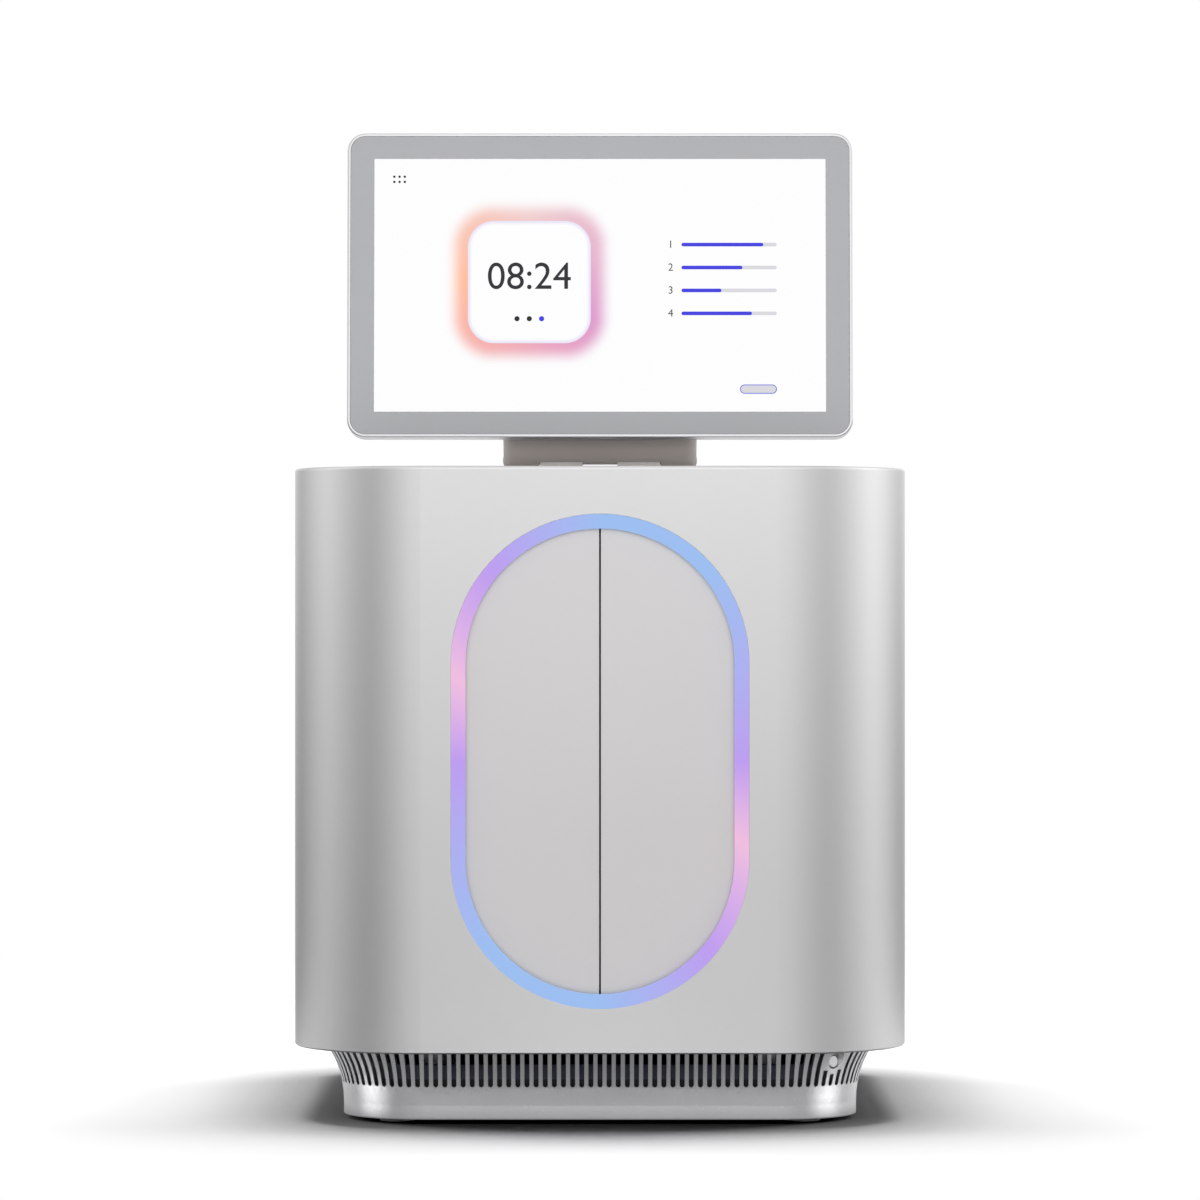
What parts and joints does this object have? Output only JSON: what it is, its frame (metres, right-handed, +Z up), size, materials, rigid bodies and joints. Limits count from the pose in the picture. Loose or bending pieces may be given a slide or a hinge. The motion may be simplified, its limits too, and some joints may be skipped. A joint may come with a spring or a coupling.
{
  "type": "benchtop sequencer",
  "caption": "Bench instrument: rounded casing with a stadium-shaped sliding door and light ring, flared slotted base and a touch monitor on a tilting arm.",
  "frame": {"origin": "centre of the footprint, on the resting surface", "axes": "+Z up, -Y is the front with the doors, +X to the right seen from the front"},
  "size_m": [0.4, 0.45, 0.6432],
  "materials": {
    "silver_casing": "bead-blasted, anodised",
    "silver_base": "bead-blasted, anodised",
    "dark_steel": "black powder coat",
    "frame_steel": "bare",
    "foot_rubber": "matt",
    "seal_rubber": "matt",
    "filter_foam": "open foam",
    "black_plastic": "moulded",
    "button_metal": "satin",
    "light_diffuser": "milky diffuser",
    "circuit_board": "solder mask",
    "leaf_metal": "satin grey",
    "machined_aluminium": "machined",
    "bay_white": "satin white",
    "nest_plastic": "moulded",
    "optics_black": "black anodised",
    "steel_pin": "ground",
    "pump_plastic": "moulded",
    "supply_steel": "zinc plated",
    "hinge_metal": "satin",
    "arm_metal": "satin warm grey",
    "bracket_metal": "satin",
    "monitor_silver": "satin silver",
    "bezel_glass": "back-printed grey cover glass",
    "display": "lit display"
  },
  "bodies": {
    "instrument": {"casing": "silver_casing", "rear_cover": "silver_casing", "top_cover": "silver_casing", "base_skirt": "silver_base", "button_well": "silver_base", "floor_pan": "dark_steel", "base_plate": "dark_steel", "connector_panel": "dark_steel", "door_motor": "dark_steel", "posts": "frame_steel", "shelf": "frame_steel", "base_pillars": "frame_steel", "upper_track": "frame_steel", "lower_track": "frame_steel", "feet": "foot_rubber", "drive_belt": "seal_rubber", "air_filter": "filter_foam", "filter_carrier": "black_plastic", "fan_frames": "black_plastic", "power_inlet": "black_plastic", "switch_body": "black_plastic", "light_ring": "light_diffuser", "ring_board": "circuit_board", "main_board": "circuit_board", "stage_rails": "machined_aluminium", "heat_sink": "machined_aluminium", "bay_liner": "bay_white", "upper_nest": "nest_plastic", "lower_nest": "nest_plastic", "optics_module": "optics_black", "stage_base": "optics_black", "optics_bridge": "optics_black", "data_ports": "steel_pin", "syringe_pump": "pump_plastic", "power_supply": "supply_steel", "arm_foot": "hinge_metal"},
    "right_door": {"right_leaf": "leaf_metal", "right_hanger": "frame_steel"},
    "left_door": {"left_leaf": "leaf_metal", "left_hanger": "frame_steel", "seam_seal": "seal_rubber"},
    "right_clamp": {"right_clamp": "machined_aluminium"},
    "left_clamp": {"left_clamp": "machined_aluminium"},
    "drive_pulley": {"drive_pulley": "machined_aluminium"},
    "idler_pulley": {"idler_pulley": "machined_aluminium"},
    "stage": {"stage_carriage": "machined_aluminium"},
    "objective": {"objective": "steel_pin"},
    "plunger": {"plunger": "steel_pin"},
    "left_fan": {"left_fan_rotor": "black_plastic"},
    "right_fan": {"right_fan_rotor": "black_plastic"},
    "rocker": {"rocker_switch": "black_plastic"},
    "button": {"power_button": "button_metal"},
    "arm": {"arm": "arm_metal", "arm_pin": "steel_pin", "tilt_pin": "steel_pin"},
    "monitor": {"tilt_bracket": "bracket_metal", "monitor_back": "monitor_silver", "monitor_rim": "monitor_silver", "monitor_front": "bezel_glass", "display_panel": "display"}
  },
  "joints": [
    {"name": "right_door_slide", "type": "slide", "parent": "instrument", "child": "right_door", "axis": [0.9563, 0.2924, 0], "range_m": [0, 0.09]},
    {"name": "left_door_slide", "type": "slide", "parent": "instrument", "child": "left_door", "axis": [-0.9563, 0.2924, 0], "range_m": [0, 0.09]},
    {"name": "right_clamp_slide", "type": "slide", "parent": "instrument", "child": "right_clamp", "axis": [1, 0, 0], "range_m": [0, 0.0862]},
    {"name": "left_clamp_slide", "type": "slide", "parent": "instrument", "child": "left_clamp", "axis": [-1, 0, 0], "range_m": [0, 0.0862]},
    {"name": "drive_pulley_spin", "type": "hinge", "parent": "instrument", "child": "drive_pulley", "pos_m": [-0.158, -0.168, 0.4], "axis": [0, 0, 1], "range_deg": [-330, 0]},
    {"name": "idler_pulley_spin", "type": "hinge", "parent": "instrument", "child": "idler_pulley", "pos_m": [0.158, -0.168, 0.4], "axis": [0, 0, 1], "range_deg": [-330, 0]},
    {"name": "stage_slide", "type": "slide", "parent": "instrument", "child": "stage", "axis": [0, 1, 0], "range_m": [-0.06, 0.06]},
    {"name": "objective_focus", "type": "slide", "parent": "instrument", "child": "objective", "axis": [0, 0, 1], "range_m": [-0.003, 0.003]},
    {"name": "plunger_stroke", "type": "slide", "parent": "instrument", "child": "plunger", "axis": [0, 0, 1], "range_m": [-0.034, 0]},
    {"name": "left_fan_spin", "type": "hinge", "parent": "instrument", "child": "left_fan", "pos_m": [-0.062, 0.2, 0.305], "axis": [0, 1, 0], "continuous": true},
    {"name": "right_fan_spin", "type": "hinge", "parent": "instrument", "child": "right_fan", "pos_m": [0.062, 0.2, 0.305], "axis": [0, 1, 0], "continuous": true},
    {"name": "rocker_tip", "type": "hinge", "parent": "instrument", "child": "rocker", "pos_m": [-0.039, 0.21, 0.095], "axis": [1, 0, 0], "range_deg": [-16, 0]},
    {"name": "button_press", "type": "slide", "parent": "instrument", "child": "button", "axis": [-0.6293, 0.7771, 0], "range_m": [0, 0.0015], "stiffness_N_per_m": 500},
    {"name": "arm_lift", "type": "hinge", "parent": "instrument", "child": "arm", "pos_m": [0, -0.016, 0.434], "axis": [1, 0, 0], "range_deg": [-45, 3]},
    {"name": "monitor_tilt", "type": "hinge", "parent": "arm", "child": "monitor", "pos_m": [0, -0.13492, 0.54606], "axis": [1, 0, 0], "range_deg": [-20, 40]}
  ],
  "couplings": [
    {"joint": "left_door_slide", "follows": "right_door_slide", "ratio": 1},
    {"joint": "right_clamp_slide", "follows": "right_door_slide", "ratio": 0.9563},
    {"joint": "left_clamp_slide", "follows": "right_door_slide", "ratio": 0.9563},
    {"joint": "drive_pulley_spin", "follows": "right_door_slide", "rad_per_m": -63.754},
    {"joint": "idler_pulley_spin", "follows": "right_door_slide", "rad_per_m": -63.754}
  ]
}
